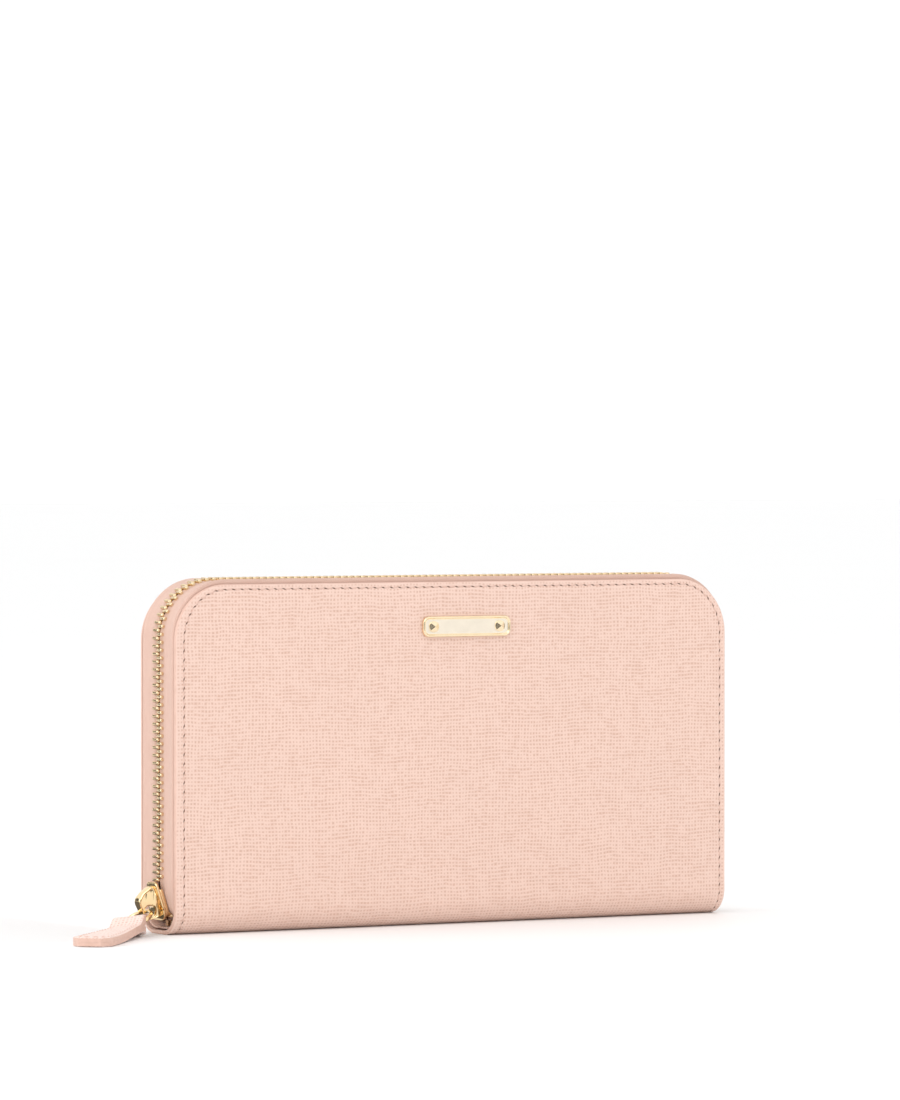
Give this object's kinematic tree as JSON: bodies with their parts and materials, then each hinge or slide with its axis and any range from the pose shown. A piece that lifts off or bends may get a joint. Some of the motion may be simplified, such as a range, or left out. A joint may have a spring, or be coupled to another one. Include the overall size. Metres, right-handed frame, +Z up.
{
  "type": "zip-around wallet",
  "caption": "Long zip-around wallet in embossed pale pink leather, standing on its spine, with card slots, note compartments, a zipped coin pocket and a leather zip pull.",
  "frame": {"origin": "middle of the flat resting face under the spine, on the surface the wallet stands on", "axes": "+X along the width to the wallet's right as seen from the front, -Y out of the front cover with the name plate, +Z up towards the top run of the zip"},
  "size_m": [0.2406, 0.0509, 0.107],
  "materials": {
    "hide": "cross-hatch embossed",
    "lining": "smooth",
    "board": "bonded fibre",
    "zip_tape": "woven herringbone",
    "zip_metal": "polished",
    "plate_metal": "satin",
    "pocket_cloth": "fine twill"
  },
  "bodies": {
    "spine": {"outer_leather_spine": "hide", "stiffener_spine": "board", "lining_spine": "lining", "coin_pocket_front": "lining", "coin_pocket_back": "lining", "coin_pocket_binding": "lining", "coin_zip_tape_front": "zip_tape", "coin_zip_tape_back": "zip_tape", "coin_zip_teeth_front": "zip_metal", "coin_zip_teeth_back": "zip_metal", "zip_bottom_stop": "zip_metal", "zip_top_stops": "zip_metal", "zip_end_tab_left": "zip_tape", "zip_end_tab_right": "zip_tape"},
    "front_cover": {"outer_leather_front": "hide", "stiffener_front": "board", "lining_front": "lining", "zip_tape_front": "zip_tape", "zip_teeth_front": "zip_metal", "name_plate": "plate_metal", "plate_studs": "zip_metal", "plate_washers": "zip_metal", "card_backing_front": "pocket_cloth", "gusset_front_left": "lining", "gusset_front_right": "lining", "card_slot_front_1": "lining", "card_slot_front_2": "lining", "card_slot_front_3": "lining", "card_slot_front_4": "lining"},
    "back_cover": {"outer_leather_back": "hide", "stiffener_back": "board", "lining_back": "lining", "zip_tape_back": "zip_tape", "zip_teeth_back": "zip_metal", "card_backing_back": "pocket_cloth", "gusset_back_left": "lining", "gusset_back_right": "lining", "card_slot_back_1": "lining", "card_slot_back_2": "lining", "card_slot_back_3": "lining", "card_slot_back_4": "lining"},
    "slider": {"slider_body": "zip_metal", "slider_crown": "zip_metal"},
    "ring": {"pull_ring": "zip_metal"},
    "pull": {"pull_leather": "hide", "pull_filler": "board"},
    "coin_slider": {"coin_slider": "zip_metal"},
    "coin_pull": {"coin_pull": "zip_metal"}
  },
  "joints": [
    {"name": "front_cover_open", "type": "hinge", "parent": "spine", "child": "front_cover", "pos_m": [0, -0.00325, 0.008], "axis": [1, 0, 0], "range_deg": [0, 35], "deforming": ["outer_leather_spine", "lining_spine", "zip_tape_front", "zip_teeth_front", "gusset_front_left", "gusset_front_right"]},
    {"name": "back_cover_open", "type": "hinge", "parent": "spine", "child": "back_cover", "pos_m": [0, 0.00325, 0.008], "axis": [-1, 0, 0], "range_deg": [0, 35], "deforming": ["outer_leather_spine", "lining_spine", "zip_tape_back", "zip_teeth_back", "gusset_back_left", "gusset_back_right"]},
    {"name": "zip_slide", "type": "slide", "parent": "back_cover", "child": "slider", "axis": [-0.0151, 0, 0.9999], "range_m": [0, 0.066], "deforming": ["zip_tape_front", "zip_teeth_front", "zip_tape_back", "zip_teeth_back"]},
    {"name": "ring_swing", "type": "hinge", "parent": "slider", "child": "ring", "pos_m": [-0.10097, 0, 0.00692], "axis": [0, 1, 0], "range_deg": [-40, 50]},
    {"name": "pull_swing", "type": "hinge", "parent": "ring", "child": "pull", "pos_m": [-0.10768, -0.00317, 0.00285], "axis": [-0.7254, 0.6884, 0], "range_deg": [-60, 60]},
    {"name": "coin_zip_slide", "type": "slide", "parent": "spine", "child": "coin_slider", "axis": [1, 0, 0], "range_m": [0, 0.142], "deforming": ["coin_zip_tape_front", "coin_zip_tape_back", "coin_zip_teeth_front", "coin_zip_teeth_back"]},
    {"name": "coin_pull_swing", "type": "hinge", "parent": "coin_slider", "child": "coin_pull", "pos_m": [-0.076, 0, 0.0975], "axis": [0, -1, 0], "range_deg": [0, 150]}
  ]
}
